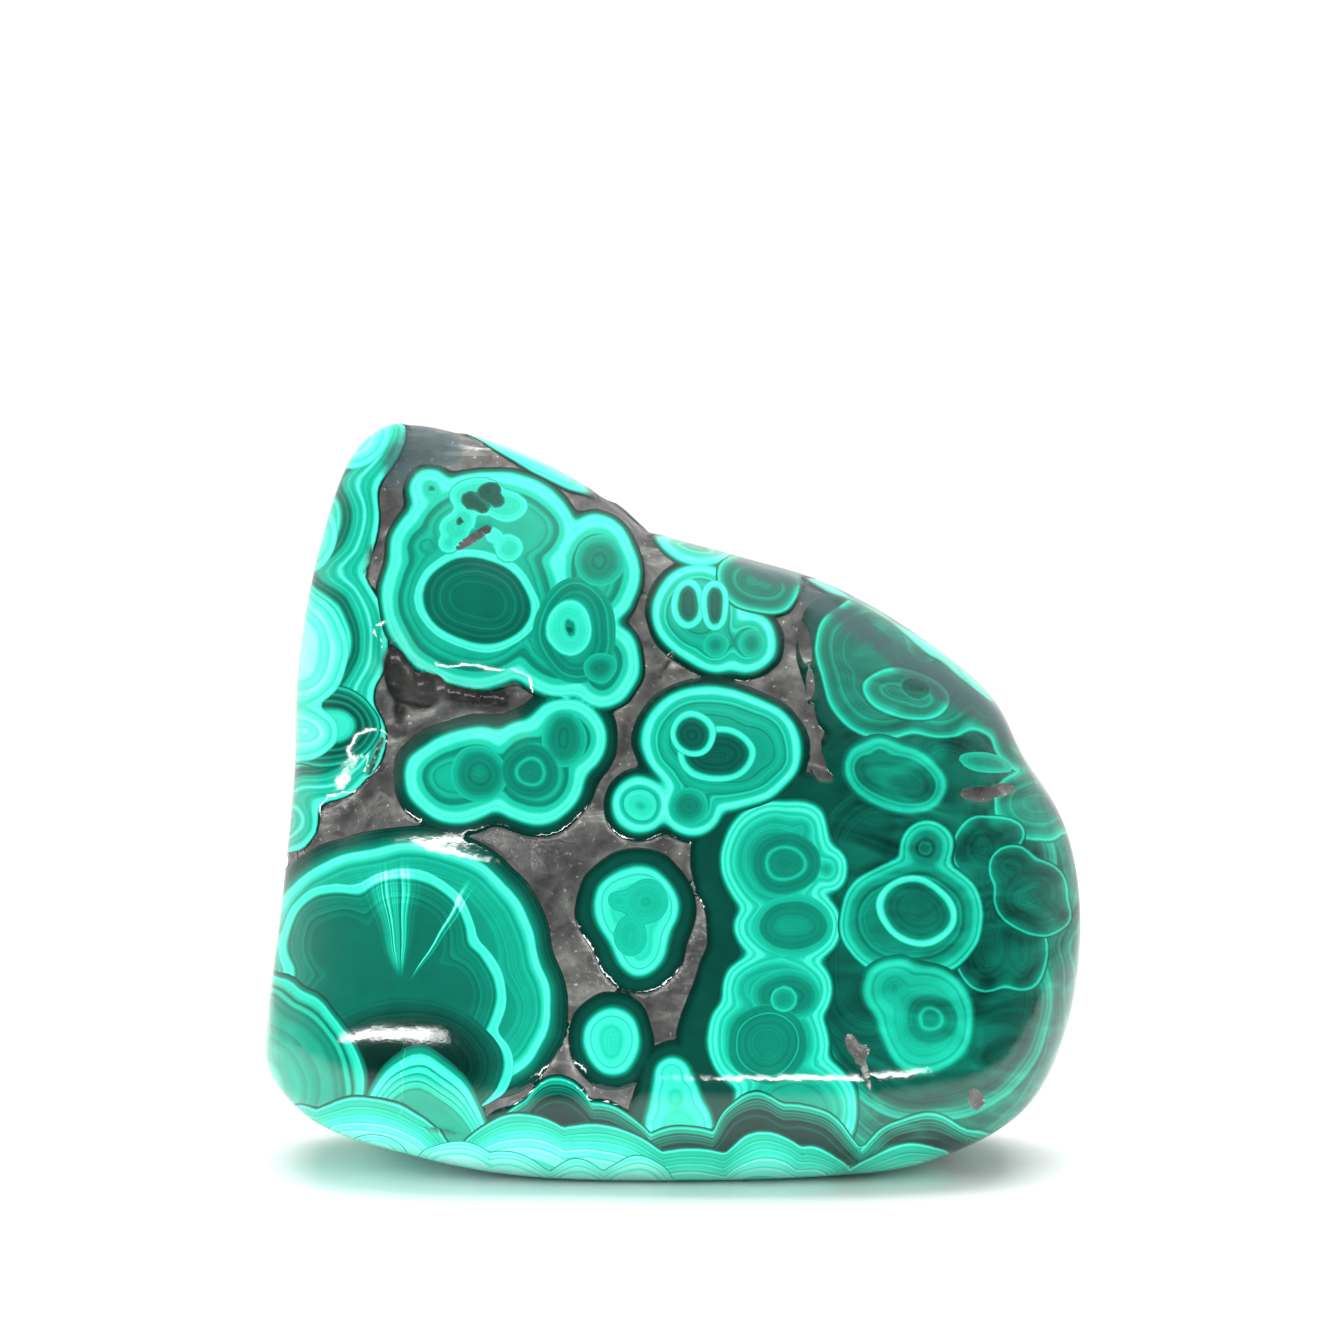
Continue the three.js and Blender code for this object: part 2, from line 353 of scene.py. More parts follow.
@dataclass(frozen=True)
class Growth:
    """Growths that share one sequence of bands.

    Attributes:
        name: A plain name, used for the attribute that holds their depth.
        bands: The sequence.
        cells: The growths.
        meld: How softly the lobes of a growth run into each other, in millimetres.
    """

    name: str
    bands: Bands
    cells: tuple[Cell, ...]
    meld: float = 0.9

    @property
    def start(self) -> float:
        """Return the depth at which they begin to cover what lies under them."""
        return self.bands.value[0][0]

    def measure(self, across: np.ndarray, up: np.ndarray) -> tuple[np.ndarray, np.ndarray]:
        """Measure the depth inside the growths, and inside their crusts.

        Args:
            across: Places across the face.
            up: Places above the base.

        Returns:
            The depth in the growths and the depth in the crusts.
        """
        inside = np.full(across.shape, OUTSIDE)
        crusted = np.full(across.shape, OUTSIDE)
        for cell in self.cells:
            depth = np.full(across.shape, OUTSIDE)
            for lobe in cell.lobes:
                other = lobe.depth(across, up)
                near = np.maximum(self.meld - np.abs(depth - other), 0.0)
                depth = np.maximum(depth, other) + near**2 / (4.0 * self.meld)
            inside = np.maximum(inside, depth)
            crusted = np.maximum(crusted, depth + cell.crust)
        return inside, crusted


# The oldest growths come first, and each one covers what stands before it
GROWTHS = (
    Growth("right_ground", Bands.GROUND, (
        Cell(0.0, (Lobe(26.5, 18.0, 15.0, 17.4), Lobe(30.0, 30.0, 12.6, 13.0))),)),
    Growth("right_edge", Bands.EDGE, (
        Cell(0.0, (Lobe(25.8, 18.0, 12.2), Lobe(28.4, 30.0, 10.0, 14.0))),)),
    Growth("right_shade", Bands.SHADE, (
        Cell(0.0, (Lobe(21.5, 31.0, 7.4, 8.5), Lobe(27.6, 37.0, 6.4, 8.5), Lobe(19.8, 22.0, 6.0, 9.0))),)),
    Growth("shoulder_veils", Bands.VEIL, (
        Cell(2.0, (
            Lobe(19.8, 53.0, 5.5), Lobe(21.3, 49.7, 6.0, 5.5), Lobe(26.8, 49.0, 5.0, 4.9),
            Lobe(32.3, 49.2, 4.6), Lobe(36.5, 45.0, 4.6))),
        *alone(2.0, Lobe(36.6, 37.6, 4.4, 3.8)))),
    Growth("fine_veils", Bands.THIN_LINE, (
        Cell(2.0, (Lobe(31.6, 23.4, 3.6, 4.6), Lobe(34.8, 23.0, 2.8, 4.2), Lobe(33.4, 26.5, 4.0, 3.2))),
        Cell(1.0, (Lobe(31.0, 33.2, 3.0, 3.2), Lobe(33.0, 34.4, 2.2, 2.0), Lobe(31.6, 30.0, 2.2, 2.6))))),
    Growth("ring_veils", Bands.THIN_LINE, (
        Cell(0.0, (
            Lobe(34.0, 31.2, 2.4, 2.2), Lobe(35.9, 28.4, 3.8, 3.2, 25.0), Lobe(37.0, 26.6, 3.0, 2.2))),)),
    Growth("top_strip", Bands.STRIP, (
        Cell(0.2, (
            Lobe(16.4, 61.1, 5.0, 2.3, -24.0), Lobe(21.6, 57.9, 5.4, 1.9, -32.0),
            Lobe(26.4, 54.4, 5.2, 1.9, -37.0), Lobe(30.4, 51.0, 4.4, 1.6, -44.0))),
        # This lone strip along the top-left edge is partly a real pale band and partly painted reflection
        # of the white surround on the rounded edge.
        *alone(0.2, Lobe(-12.4, 71.8, 8.4, 1.7, -27.0)))),
    Growth("left_wall", Bands.WALL, (
        Cell(0.2, (
            Lobe(-36.0, 75.4, 9.4, 8.0), Lobe(-37.6, 66.4, 8.4, 8.0), Lobe(-38.2, 54.0, 9.8, 9.4),
            Lobe(-37.6, 44.2, 9.0, 6.6), Lobe(-38.7, 36.0, 3.2))),), 2.0),
    Growth("rimmed", Bands.RIM, (
        Cell(0.6, (
            Lobe(-24.2, 69.0, 2.1), Lobe(-24.7, 63.5, 3.4), Lobe(-19.7, 58.2, 9.3, 9.0),
            Lobe(-11.2, 54.0, 5.6), Lobe(-7.0, 51.6, 3.7, 4.3), Lobe(-7.6, 60.8, 4.3, 5.6),
            Lobe(-18.2, 65.0, 8.5, 5.8))),
        Cell(1.3, (
            Lobe(-21.7, 40.2, 5.0, 4.4), Lobe(-19.4, 40.8, 4.5), Lobe(-13.9, 40.8, 5.2),
            Lobe(-10.5, 44.2, 4.0))))),
    Growth("column", Bands.COLUMN, (
        Cell(3.0, (
            Lobe(10.4, 32.0, 5.5, 5.9), Lobe(12.8, 35.2, 2.6), Lobe(15.4, 31.1, 2.3),
            Lobe(11.6, 25.3, 5.3, 4.1), Lobe(10.6, 19.0, 5.5, 4.2), Lobe(9.6, 14.0, 6.1, 5.6),
            Lobe(12.3, 7.0, 6.2, 6.0))),)),
    Growth("thin_rimmed", Bands.THIN_RIM, (
        Cell(0.8, (Lobe(2.8, 56.8, 4.7, 4.8), Lobe(4.3, 54.0, 3.1), Lobe(7.6, 53.7, 2.9))),
        *alone(0.3, Lobe(2.9, 65.5, 4.8, 4.0)),
        Cell(0.9, (
            Lobe(3.6, 44.0, 6.6, 5.4), Lobe(7.2, 43.0, 5.8, 5.0), Lobe(2.0, 37.6, 3.1),
            Lobe(-3.2, 37.4, 2.8), Lobe(5.0, 41.0, 6.0, 4.0))))),
    Growth("top_veils", Bands.VEIL, alone(
        0.4, Lobe(8.6, 59.8, 4.2, 3.0, -20.0), Lobe(23.4, 48.6, 4.4, 2.4, -12.0))),
    Growth("eyes", Bands.EYE, (
        Cell(1.9, (Lobe(-3.6, 27.2, 4.2, 4.1), Lobe(-3.2, 24.0, 2.7, 3.6))),
        *alone(1.6, Lobe(-6.1, 13.9, 2.7, 3.4)),
        Cell(1.8, (Lobe(0.0, 10.5, 1.7), Lobe(0.3, 8.2, 2.4), Lobe(0.7, 5.5, 3.3))))),
    Growth("large", Bands.LARGE, (
        Cell(1.8, (Lobe(-30.2, 22.0, 10.8), Lobe(-25.7, 21.5, 12.1), Lobe(-19.6, 17.2, 7.6))),)),
    Growth("dark_right", Bands.DARK, (
        Cell(3.0, (Lobe(22.6, 26.0, 5.8, 5.6), Lobe(24.8, 26.4, 6.2, 6.0), Lobe(25.4, 33.2, 2.7))),)),
    Growth("soft_right", Bands.SOFT, (
        Cell(3.0, (Lobe(25.3, 16.0, 4.8, 5.4), Lobe(22.3, 19.0, 3.2))),)),
    Growth("kidney", Bands.KIDNEY, (
        Cell(3.0, (Lobe(22.4, 40.2, 5.2, 3.2, -16.0), Lobe(19.4, 41.6, 2.0), Lobe(21.0, 42.6, 1.6))),)),
    Growth("deep_cores", Bands.DEEP_CORE, alone(0.0, Lobe(-19.4, 57.9, 6.2, 5.1, -12.0))),
    Growth("lined_cores", Bands.LINED_CORE, alone(0.0, Lobe(-9.7, 54.9, 4.1, 5.2))),
    Growth("mid_cores", Bands.MID_CORE, (
        *alone(
            0.0, Lobe(-7.3, 61.9, 2.5, 2.7), Lobe(-7.2, 51.2, 1.7, 1.5), Lobe(-10.8, 44.1, 2.2, 2.8),
            Lobe(-19.3, 40.6, 3.0, 2.9), Lobe(1.6, 37.4, 1.9), Lobe(11.4, 18.4, 3.5, 2.7),
            Lobe(31.4, 41.7, 2.6, 1.1, -8.0)),
        Cell(0.0, (Lobe(4.4, 53.6, 1.2), Lobe(8.0, 53.6, 1.4))))),
    Growth("pale_cores", Bands.PALE_CORE, (
        Cell(0.0, (Lobe(-19.4, 68.3, 2.8, 1.9), Lobe(-16.6, 67.4, 2.0, 1.5), Lobe(-21.0, 66.0, 1.4))),
        Cell(0.0, (Lobe(-21.8, 65.1, 1.6, 1.6), Lobe(-22.5, 63.6, 1.1))),
        Cell(0.0, (Lobe(-16.3, 63.3, 1.4), Lobe(-17.9, 64.5, 0.8)))), 0.3),
    Growth("ringed_cores", Bands.RINGED_CORE, alone(
        0.0, Lobe(-14.2, 40.9, 2.8), Lobe(11.4, 31.7, 3.4, 3.2), Lobe(26.0, 16.2, 2.5))),
    Growth("oval_cores", Bands.OVAL_CORE, alone(0.0, Lobe(12.0, 25.4, 4.0, 3.0))),
    Growth("rings", Bands.RING, alone(
        0.0, Lobe(1.6, 57.6, 1.6, 2.4), Lobe(4.4, 42.6, 3.9, 2.9), Lobe(24.5, 26.9, 4.1, 3.4, -20.0))),
    Growth("over_rings", Bands.RING, alone(0.0, Lobe(4.3, 57.5, 1.5, 2.5), Lobe(2.1, 44.7, 2.3))),
    Growth("fine_rings", Bands.FINE_RING, alone(0.0, Lobe(-3.2, 37.4, 1.8))),
    Growth("soft_cores", Bands.SOFT_CORE, (
        Cell(0.0, (Lobe(-2.7, 27.9, 2.2), Lobe(-5.3, 27.9, 1.0))),
        *alone(0.0, Lobe(-4.25, 24.5, 1.5, 2.0)))),
    Growth("discs", Bands.DISC, alone(0.0, Lobe(9.5, 13.6, 4.0))),
    Growth("large_cores", Bands.LARGE_CORE, (
        Cell(0.0, (
            Lobe(-26.7, 24.0, 7.1), Lobe(-33.2, 23.5, 6.2), Lobe(-22.9, 18.5, 6.4),
            Lobe(-20.4, 11.5, 4.4), Lobe(-30.0, 14.0, 11.0), Lobe(-24.6, 12.0, 6.6))),)),
    Growth("large_deeps", Bands.DEEP, alone(0.0, Lobe(-26.6, 11.6, 8.0, 5.0))),
    Growth("wall_fringe", Bands.FRINGE, alone(0.0, Lobe(-35.2, 45.4, 6.0, 4.0))),
    Growth("wall_cores", Bands.WALL_CORE, (
        *alone(0.0, Lobe(-31.0, 74.6, 2.9, 3.3, -15.0)),
        Cell(0.0, (
            Lobe(-37.2, 65.0, 3.8, 4.5), Lobe(-37.4, 53.0, 5.0, 6.0), Lobe(-37.2, 44.8, 3.8, 3.0))))),
    Growth("eye_dots", Bands.EYE_DOT, alone(0.0, Lobe(-10.3, 55.2, 2.3, 2.7))),
    Growth("blobs", Bands.BLOB, (
        Cell(0.0, (
            Lobe(-18.2, 68.8, 1.2, 0.9, 10.0), Lobe(-20.1, 67.9, 1.0), Lobe(-18.9, 67.2, 0.8, 0.6),
            Lobe(-17.4, 67.8, 0.8, 0.6))),
        *alone(
            0.0, Lobe(-21.3, 65.8, 0.42), Lobe(-10.4, 55.0, 0.42),
            Lobe(24.4, 49.2, 1.6, 0.95, -12.0))), 0.2),
    Growth("ring_dots", Bands.RING_DOT, alone(0.0, Lobe(11.2, 18.1, 1.4))),
    Growth("fans", Bands.FAN, (
        *alone(
            0.4, Hump(-11.5, 10.3, 2.4, 1.4), Hump(-12.2, 8.7, 3.4, 1.3), Hump(-7.6, 7.7, 4.4, 2.1),
            Hump(1.5, 5.5, 3.0, 0.7)),
        Cell(0.4, (Hump(8.5, 8.7, 2.4, 1.1), Hump(12.2, 7.7, 4.5, 2.1))),
        Cell(0.4, (Hump(25.2, 6.6, 3.4, 1.0), Hump(30.8, 5.0, 2.6, 1.0))))),
    Growth("corner", Bands.CORNER, (Cell(0.6, (Lobe(-42.2, 9.0, 11.2), Lobe(-40.4, 17.0, 3.4))),)),
    Growth("dome", Bands.DOME, (
        Cell(0.5, (Hump(-25.6, 13.1, 4.4, 3.6), Hump(-23.2, 11.7, 3.5, 3.4))),)),
    # These hems and the low hems below are partly real bands and partly painted reflection of the white
    # floor.
    Growth("left_hems", Bands.HEM, alone(0.2, Hump(-36.8, 7.4, 2.6, 1.2), Hump(-31.0, 8.3, 4.5, 1.2))),
    Growth("hems", Bands.HEM, (
        *alone(0.9, Hump(-14.9, 6.6, 5.0, 2.0), Hump(-8.4, 5.5, 5.0, 1.2), Hump(1.9, 3.2, 4.0, 0.8)),
        Cell(0.9, (Hump(9.4, 4.75, 2.8, 1.0), Hump(13.6, 3.4, 3.0, 1.2))),
        *alone(0.8, Hump(24.0, 3.5, 5.0, 1.6))), 0.2),
    Growth("low_hems", Bands.LOW_HEM, (
        *alone(0.3, Hump(-30.0, 4.6, 2.8, 1.2), Hump(-21.6, 4.0, 2.6, 0.8)),
        *alone(
            0.2, Hump(-16.7, 2.8, 4.0, 1.4), Hump(-9.5, 2.1, 2.4, 1.0),
            Hump(-3.6, 2.4, 2.4, 0.9))), 0.2),
)

# Seams of grey matrix that cut through the growths
SEAMS = (
    Lobe(13.2, 53.8, 0.7, 2.4, 8.0), Lobe(13.6, 49.6, 0.45, 1.6), Lobe(14.3, 44.0, 0.5, 4.0, 6.0),
    Lobe(14.7, 41.4, 0.7, 1.5, 15.0), Lobe(15.1, 40.5, 0.9, 0.5, -20.0),
    Lobe(30.7, 38.6, 1.8, 0.75, 4.0), Lobe(33.0, 38.9, 1.6, 0.6, 8.0), Lobe(18.3, 13.2, 0.6, 1.6, 22.0),
    Lobe(-19.9, 64.2, 2.3, 0.45, 33.0), Lobe(19.0, 12.3, 0.45, 1.1, -28.0),
    Lobe(19.1, 11.0, 0.35, 2.2, 14.0), Lobe(19.6, 9.0, 0.2, 2.2, 12.0), Lobe(30.4, 8.0, 0.8, 1.1, 20.0),
)

# Places where smoky matrix shows faintly through dark green
HAZES = (
    Lobe(14.6, 58.0, 2.4, 1.2, -38.0), Lobe(18.6, 55.4, 3.4, 1.3, -33.0),
    Lobe(23.4, 52.2, 4.4, 1.5, -34.0), Lobe(28.4, 48.8, 4.2, 1.6, -36.0),
    Lobe(32.6, 46.0, 3.2, 1.4, -45.0), Lobe(9.8, 60.9, 3.6, 1.5, -20.0),
    Lobe(-24.0, 73.6, 3.4, 2.2, -15.0), Lobe(-27.2, 71.6, 1.6, 2.6, -10.0),
)

# Pits and cracks that the polish did not reach
PITS = (
    Lobe(-27.4, 50.4, 1.4, 3.0, 18.0), Lobe(-25.0, 48.9, 2.4, 1.8), Lobe(-20.6, 48.3, 4.8, 0.9, -5.0),
    Lobe(-27.2, 46.9, 0.7, 1.6, -12.0), Lobe(-30.6, 62.0, 0.4, 1.7, -12.0),
    Lobe(-29.7, 42.4, 0.45, 2.4, -24.0), Lobe(-33.4, 34.8, 0.5, 0.4), Lobe(-23.2, 4.9, 1.8, 0.3, -10.0),
    Lobe(-1.0, 51.0, 0.3, 2.2, -30.0), Lobe(-16.9, 3.5, 0.25), Lobe(-10.2, 3.5, 0.3),
)


@dataclass(frozen=True)
class Wander:
    """A smooth wander through the stone, made of a few seeded waves.

    Attributes:
        reach: Its largest usual size, in millimetres.
        wave: Its usual wavelength, in millimetres.
        seed: The seed of its waves.
        waves: How many waves it has.
        beats: The least and the most times that a wave beats faster than usual.
    """

    reach: float
    wave: float
    seed: int
    waves: int = 7
    beats: tuple[float, float] = (0.6, 1.7)

    def at(self, points: np.ndarray) -> np.ndarray:
        """Work out the wander at points.

        Args:
            points: Points in millimetres, one a row.

        Returns:
            One value for each point.
        """
        chance = np.random.default_rng(self.seed)
        total = np.zeros(len(points))
        for _ in range(self.waves):
            way = chance.normal(size=3)
            way = way / np.linalg.norm(way)
            beat = 2.0 * math.pi / self.wave * chance.uniform(*self.beats)
            start = chance.uniform(0.0, 2.0 * math.pi)
            total += np.sin(beat * (points @ way) + start)
        return self.reach * total * math.sqrt(2.0 / self.waves)


@dataclass(frozen=True)
class StonePattern:
    """Growths that run through the stone as rods along the lines of sight.

    Attributes:
        sight: The sight along which the rods run.
        wobble: How unevenly the growths' edges run, across and up.
        drift: How the rods wander behind the face, across and up.
        behind: Places on the Y axis between which the drift sets in, in millimetres.
        fan_foot: Where the fibres of the large growth, with their painted sheen, spread from, in
            millimetres.
    """

    sight: Sight
    wobble: tuple[Wander, Wander] = (Wander(0.09, 6.5, 11), Wander(0.09, 6.5, 13))
    drift: tuple[Wander, Wander] = (Wander(1.6, 26.0, 15), Wander(1.6, 26.0, 16))
    behind: tuple[float, float] = (-6.0, 16.0)
    fan_foot: tuple[float, float] = (-27.1, 18.4)

    def measure(self, points: np.ndarray) -> dict[str, np.ndarray]:
        """Measure every growth at points of the stone.

        Args:
            points: Points in metres, one a row.

        Returns:
            Depths in millimetres by name: each growth, the crust, the seams, the hazes
            and the pits, and the fibres' angle and reach.
        """
        place = points / MM
        behind = smooth_step(*self.behind, place[:, 1])
        across, up = (
            side + wobble.at(place) + behind * drift.at(place)
            for side, wobble, drift in zip(self.sight.on_face(points), self.wobble, self.drift)
        )
        depths: dict[str, np.ndarray] = {}
        crust = np.full(across.shape, OUTSIDE)
        for growth in GROWTHS:
            inside, crusted = growth.measure(across, up)
            depths[growth.name] = inside
            crust = np.maximum(crust, crusted)
        depths["crust"] = crust
        for name, lobes in (("seam", SEAMS), ("haze", HAZES), ("pit", PITS)):
            depths[name] = np.max([lobe.depth(across, up) for lobe in lobes], axis=0)
        fan_side = across - self.fan_foot[0]
        fan_rise = up - self.fan_foot[1]
        depths["fan_angle"] = np.degrees(np.arctan2(fan_side, fan_rise))
        depths["fan_reach"] = np.hypot(fan_side, fan_rise)
        return depths


def smooth_step(low: float, high: float, value: np.ndarray) -> np.ndarray:
    """Rise smoothly from 0 to 1.

    Args:
        low: Where the rise begins.
        high: Where it ends.
        value: The values to place.

    Returns:
        A share from 0 to 1 for each value.
    """
    share = np.clip((value - low) / (high - low), 0.0, 1.0)
    return share * share * (3.0 - 2.0 * share)


# Shader nodes


@dataclass(frozen=True)
class Wire:
    """A socket of a shader tree, on which arithmetic adds Math nodes.

    Attributes:
        bench: The bench that makes nodes in the tree.
        socket: The output socket.
    """

    bench: "Bench"
    socket: Any

    def _math(self, operation: str, first: Any, second: Any) -> "Wire":
        """Add one Math node and return its output."""
        return self.bench.node("ShaderNodeMath", {"operation": operation}, {0: first, 1: second})

    def __add__(self, other: Any) -> "Wire":
        """Add."""
        return self._math("ADD", self, other)

    def __radd__(self, other: Any) -> "Wire":
        """Add, with the wire on the right."""
        return self._math("ADD", other, self)

    def __sub__(self, other: Any) -> "Wire":
        """Subtract."""
        return self._math("SUBTRACT", self, other)

    def __rsub__(self, other: Any) -> "Wire":
        """Subtract the wire from a value."""
        return self._math("SUBTRACT", other, self)

    def __mul__(self, other: Any) -> "Wire":
        """Multiply."""
        return self._math("MULTIPLY", self, other)

    def __rmul__(self, other: Any) -> "Wire":
        """Multiply, with the wire on the right."""
        return self._math("MULTIPLY", other, self)

    def most(self, other: Any) -> "Wire":
        """Take the larger value."""
        return self._math("MAXIMUM", self, other)


@dataclass(frozen=True)
class Bench:
    """Makes and links the nodes of one shader tree.

    Attributes:
        tree: The node tree.
    """

    tree: Any

    def node(
        self, kind: str, settings: dict[str, Any], values: dict[Any, Any], output: Any = 0
    ) -> Wire:
        """Add a node.

        Args:
            kind: Blender's type name for it.
            settings: Its settings; "stops" gives a ramp's pairs of place and colour.
            values: Values or wires for its input sockets, by name or number.
            output: The name or number of the output wanted.

        Returns:
            The wire from that output.
        """
        made = self.tree.nodes.new(kind)
        for name, setting in settings.items():
            if name == "stops":
                self._set_stops(made.color_ramp, setting)
            else:
                setattr(made, name, setting)
        for name, value in values.items():
            if isinstance(value, Wire):
                self.tree.links.new(value.socket, made.inputs[name])
            else:
                made.inputs[name].default_value = value
        return Wire(self, made.outputs[output])

    @staticmethod
    def _set_stops(ramp: Any, stops: Any) -> None:
        """Fill a ramp with stops.

        Args:
            ramp: The colour ramp.
            stops: Pairs of place and colour, in order.
        """
        elements = ramp.elements
        while len(elements) > 1:
            elements.remove(elements[-1])
        elements[0].position = stops[0][0]
        elements[0].color = stops[0][1]
        for place, colour in stops[1:]:
            elements.new(place).color = colour

    def attribute(self, name: str) -> Wire:
        """Read a number that the mesh carries at each point."""
        return self.node("ShaderNodeAttribute", {"attribute_name": name}, {}, "Fac")

    def between(self, low: float, high: float, value: Wire, smooth: bool = True) -> Wire:
        """Turn a value into a share from 0 to 1.

        Args:
            low: The value at which the share is 0.
            high: The value at which it is 1.
            value: The value.
            smooth: Whether the share eases in and out.

        Returns:
            The share.
        """
        style = "SMOOTHSTEP" if smooth else "LINEAR"
        limits = {"From Min": low, "From Max": high}
        return self.node(
            "ShaderNodeMapRange", {"interpolation_type": style}, {"Value": value, **limits}
        )

    def mix(self, share: Any, first: Any, second: Any) -> Wire:
        """Mix two numbers."""
        values = {0: share, 2: first, 3: second}
        return self.node("ShaderNodeMix", {"data_type": "FLOAT"}, values)

    def mix_colour(self, share: Any, first: Any, second: Any) -> Wire:
        """Mix two colours."""
        values = {0: share, 6: first, 7: second}
        return self.node("ShaderNodeMix", {"data_type": "RGBA"}, values, 2)

    def ramp(self, stops: list[tuple[float, Any]], share: Wire) -> Wire:
        """Look a share up in a ramp."""
        return self.node("ShaderNodeValToRGB", {"stops": stops}, {0: share})

    def side(self, place: Wire, axis: str) -> Wire:
        """Read one coordinate of a place."""
        return self.node("ShaderNodeSeparateXYZ", {}, {0: place}, axis)

    def turned(self, place: Wire, turn: float, scale: tuple[float, float, float]) -> Wire:
        """Scale a place, and then turn it about the Y axis."""
        values = {"Vector": place, "Rotation": (0.0, turn, 0.0), "Scale": scale}
        return self.node("ShaderNodeMapping", {}, values)

    def threads(self, value: Wire, often: float, detail: float) -> Wire:
        """Add noise that changes along one value alone.

        Args:
            value: The value.
            often: How often it changes for each unit of the value.
            detail: How many finer layers it has.

        Returns:
            A value near 0.5.
        """
        values = {"W": value, "Scale": often, "Detail": detail}
        return self.node("ShaderNodeTexNoise", {"noise_dimensions": "1D"}, values, "Fac")


@dataclass(frozen=True)
class Cloud:
    """Soft noise, which lifts a value in some places and lowers it in others.

    Attributes:
        wave: Its wavelength, in the unit of the place.
        detail: How many finer layers it has.
        strength: How strongly it changes a value.
        twist: How far it is distorted.
        middle: The noise at which it changes nothing.
    """

    wave: float
    detail: float
    strength: float = 1.0
    twist: float = 0.0
    middle: float = NOISE_MIDDLE

    def noise(self, place: Wire) -> Wire:
        """Give the bare noise at a place, a value near 0.5.

        Args:
            place: The place.

        Returns:
            The noise.
        """
        values = {
            "Vector": place, "Scale": 1.0 / self.wave, "Detail": self.detail, "Distortion": self.twist,
        }
        return place.bench.node("ShaderNodeTexNoise", {"noise_dimensions": "3D"}, values, "Fac")

    def change(self, noise: Wire) -> Wire:
        """Turn the bare noise into a change above or below 0."""
        return (noise - self.middle) * self.strength

    def at(self, place: Wire) -> Wire:
        """Give the change at a place."""
        return self.change(self.noise(place))


def linear(code: str) -> tuple[float, float, float, float]:
    """Turn a screen colour into the linear colour that nodes take, by the sRGB curve.

    Args:
        code: Six hexadecimal digits.

    Returns:
        Red, green, blue and 1.
    """
    knee = 0.04045
    slope = 12.92
    shift = 0.055
    power = 2.4
    parts = []
    for start in (0, 2, 4):
        share = int(code[start:start + 2], 16) / 255.0
        parts.append(share / slope if share <= knee else ((share + shift) / (1.0 + shift)) ** power)
    return (parts[0], parts[1], parts[2], 1.0)


def painted(tones: tuple[tuple[float, str], ...]) -> list[tuple[float, Any]]:
    """Turn pairs of place and screen colour into a ramp's stops."""
    return [(place, linear(code)) for place, code in tones]


def new_material(name: str) -> tuple[bpy.types.Material, Bench, Any]:
    """Start a material.

    Args:
        name: Its name.

    Returns:
        The material, its bench and its shader node.
    """
    material = bpy.data.materials.new(name)
    material.use_nodes = True
    tree = material.node_tree
    tree.nodes.clear()
    shader = tree.nodes.new("ShaderNodeBsdfPrincipled")
    output = tree.nodes.new("ShaderNodeOutputMaterial")
    tree.links.new(shader.outputs["BSDF"], output.inputs["Surface"])
    return material, Bench(tree), shader


# Finishes


@dataclass(frozen=True)
class MatrixFinish:
    """The dull grey matrix between the growths, with painted shade darkening its pits.

    Attributes:
        tones: The greys, by place from 0 to 1.
        level: The usual place among the greys.
        patches: Its broad light and dark patches.
        grain: Its grain.
        streaks: Its pale streaks.
        streak_turn: How far the streaks lean, in radians.
        streak_scale: How the streaks are drawn out.
        streak_edge: Noise at which a streak begins and is full.
        streak_lift: How much paler a streak is.
        sparkle_specks: Its painted sparkle, small pale dots on the grey.
        speck_edge: Noise at which a speck begins and is full.
        sparkle_lift: How much paler the painted sparkle makes a speck.
        pit_shade_black: The near black of the painted shade in the pits.
        pit_shade_share: How fully that painted shade covers the matrix.
    """

    tones: tuple[tuple[float, str], ...] = (
        (0.0, "1e1f1f"), (0.3, "454645"), (0.5, "5f605d"), (0.75, "84847f"), (1.0, "c8c9c4"),
    )
    level: float = 0.4
    patches: Cloud = Cloud(7.0, 4.0, 1.3, 1.6)
    grain: Cloud = Cloud(1.3, 5.0, 0.5, 0.4)
    streaks: Cloud = Cloud(2.2, 5.0, 1.0, 1.2)
    streak_turn: float = -0.75
    streak_scale: tuple[float, float, float] = (0.28, 1.0, 1.0)
    streak_edge: tuple[float, float] = (0.52, 0.78)
    streak_lift: float = 0.5
    sparkle_specks: Cloud = Cloud(0.5, 2.0)
    speck_edge: tuple[float, float] = (0.64, 0.74)
    sparkle_lift: float = 0.4
    pit_shade_black: str = "0c0f0f"
    pit_shade_share: float = 0.7

    def paint(self, bench: Bench, place: Wire, pit: Wire) -> tuple[Wire, Wire]:
        """Make the colour of the matrix, with painted shade in its pits, and its grain.

        Args:
            bench: The bench of the material.
            place: The place on the stone, in millimetres.
            pit: How far each point lies in a pit, from 0 to 1.

        Returns:
            The colour, and the grain's height from 0 to 1.
        """
        grain = self.grain.noise(place)
        drawn = bench.turned(place, self.streak_turn, self.streak_scale)
        streaks = bench.between(*self.streak_edge, self.streaks.noise(drawn))
        # Small pale dots lift the grey here: painted sparkle.
        sparkle_specks = bench.between(*self.speck_edge, self.sparkle_specks.noise(place))
        level = self.patches.at(place) + self.grain.change(grain)
        level = level + streaks * self.streak_lift + sparkle_specks * self.sparkle_lift + self.level
        colour = bench.ramp(painted(self.tones), level)
        # The pits are darkened toward near black: painted shade in the hollows.
        return bench.mix_colour(pit * self.pit_shade_share, colour, linear(self.pit_shade_black)), grain


